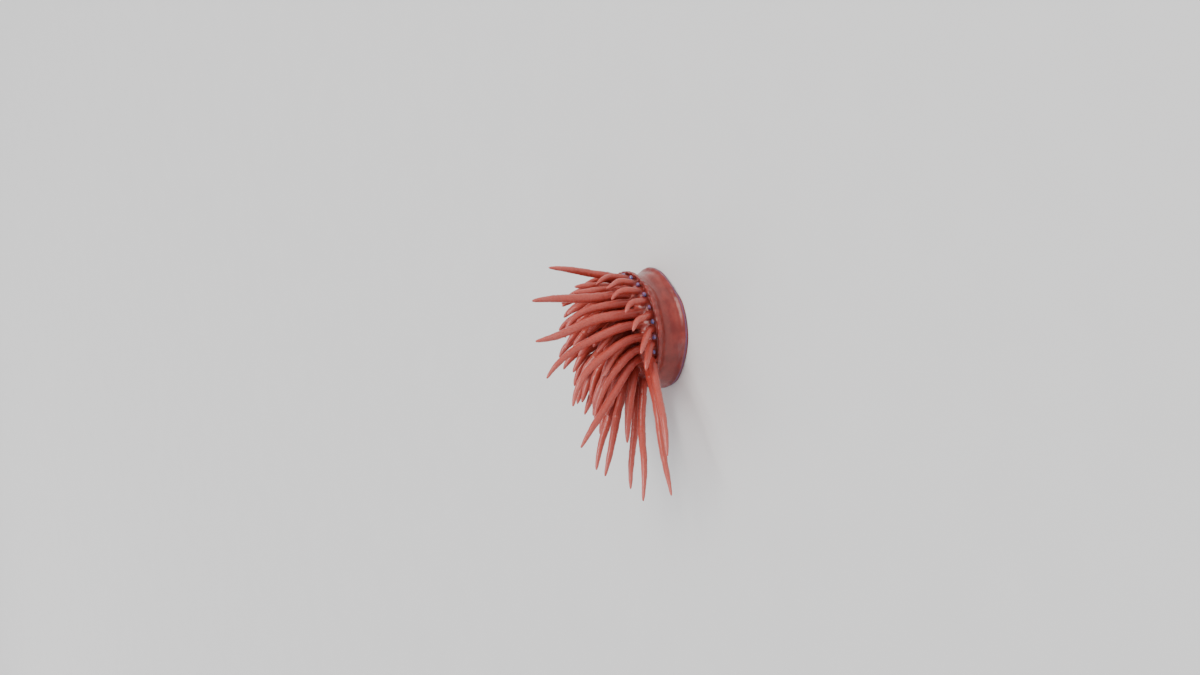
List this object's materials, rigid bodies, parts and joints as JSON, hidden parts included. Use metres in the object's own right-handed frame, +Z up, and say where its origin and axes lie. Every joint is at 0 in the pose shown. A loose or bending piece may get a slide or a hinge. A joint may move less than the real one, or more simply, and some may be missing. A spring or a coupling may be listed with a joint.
{
  "type": "beadlet anemone",
  "caption": "Sea anemone, life size and still: a low fleshy column on a flat foot, with an open crown of tapering tentacles round a slit mouth, streaming to one side.",
  "frame": {"origin": "centre of the underside of the pedal disc, on the surface that the animal sits on", "axes": "+Z up out of the foot along the column, -X the way that the long tentacles stream, the slit of the mouth along Y"},
  "size_m": [0.0509, 0.0408, 0.0343],
  "materials": {
    "column_skin": "wet, glossy, soft flesh, maroon, finely wrinkled round and down",
    "disc_skin": "wet, glossy, soft flesh, brownish red, with fine rays from the mouth",
    "tentacle_skin": "wet, glossy, slightly translucent flesh, brick red, paler at the tips"
  },
  "bodies": {
    "root": {"collar": "column_skin", "column": "column_skin", "disc_margin": "disc_skin", "lips": "disc_skin", "oral_disc": "disc_skin", "pedal_disc": "column_skin", "tentacle_1_1": "tentacle_skin", "tentacle_1_2": "tentacle_skin", "tentacle_1_3": "tentacle_skin", "tentacle_1_4": "tentacle_skin", "tentacle_1_5": "tentacle_skin", "tentacle_1_6": "tentacle_skin", "tentacle_2_1": "tentacle_skin", "tentacle_2_2": "tentacle_skin", "tentacle_2_3": "tentacle_skin", "tentacle_2_4": "tentacle_skin", "tentacle_2_5": "tentacle_skin", "tentacle_2_6": "tentacle_skin", "tentacle_3_1": "tentacle_skin", "tentacle_3_10": "tentacle_skin", "tentacle_3_11": "tentacle_skin", "tentacle_3_12": "tentacle_skin", "tentacle_3_2": "tentacle_skin", "tentacle_3_3": "tentacle_skin", "tentacle_3_4": "tentacle_skin", "tentacle_3_5": "tentacle_skin", "tentacle_3_6": "tentacle_skin", "tentacle_3_7": "tentacle_skin", "tentacle_3_8": "tentacle_skin", "tentacle_3_9": "tentacle_skin", "tentacle_4_1": "tentacle_skin", "tentacle_4_10": "tentacle_skin", "tentacle_4_11": "tentacle_skin", "tentacle_4_12": "tentacle_skin", "tentacle_4_13": "tentacle_skin", "tentacle_4_14": "tentacle_skin", "tentacle_4_15": "tentacle_skin", "tentacle_4_16": "tentacle_skin", "tentacle_4_17": "tentacle_skin", "tentacle_4_18": "tentacle_skin", "tentacle_4_19": "tentacle_skin", "tentacle_4_2": "tentacle_skin", "tentacle_4_20": "tentacle_skin", "tentacle_4_21": "tentacle_skin", "tentacle_4_22": "tentacle_skin", "tentacle_4_23": "tentacle_skin", "tentacle_4_24": "tentacle_skin", "tentacle_4_3": "tentacle_skin", "tentacle_4_4": "tentacle_skin", "tentacle_4_5": "tentacle_skin", "tentacle_4_6": "tentacle_skin", "tentacle_4_7": "tentacle_skin", "tentacle_4_8": "tentacle_skin", "tentacle_4_9": "tentacle_skin", "tentacle_5_1": "tentacle_skin", "tentacle_5_14": "tentacle_skin", "tentacle_5_15": "tentacle_skin", "tentacle_5_16": "tentacle_skin", "tentacle_5_17": "tentacle_skin"}
  },
  "joints": []
}
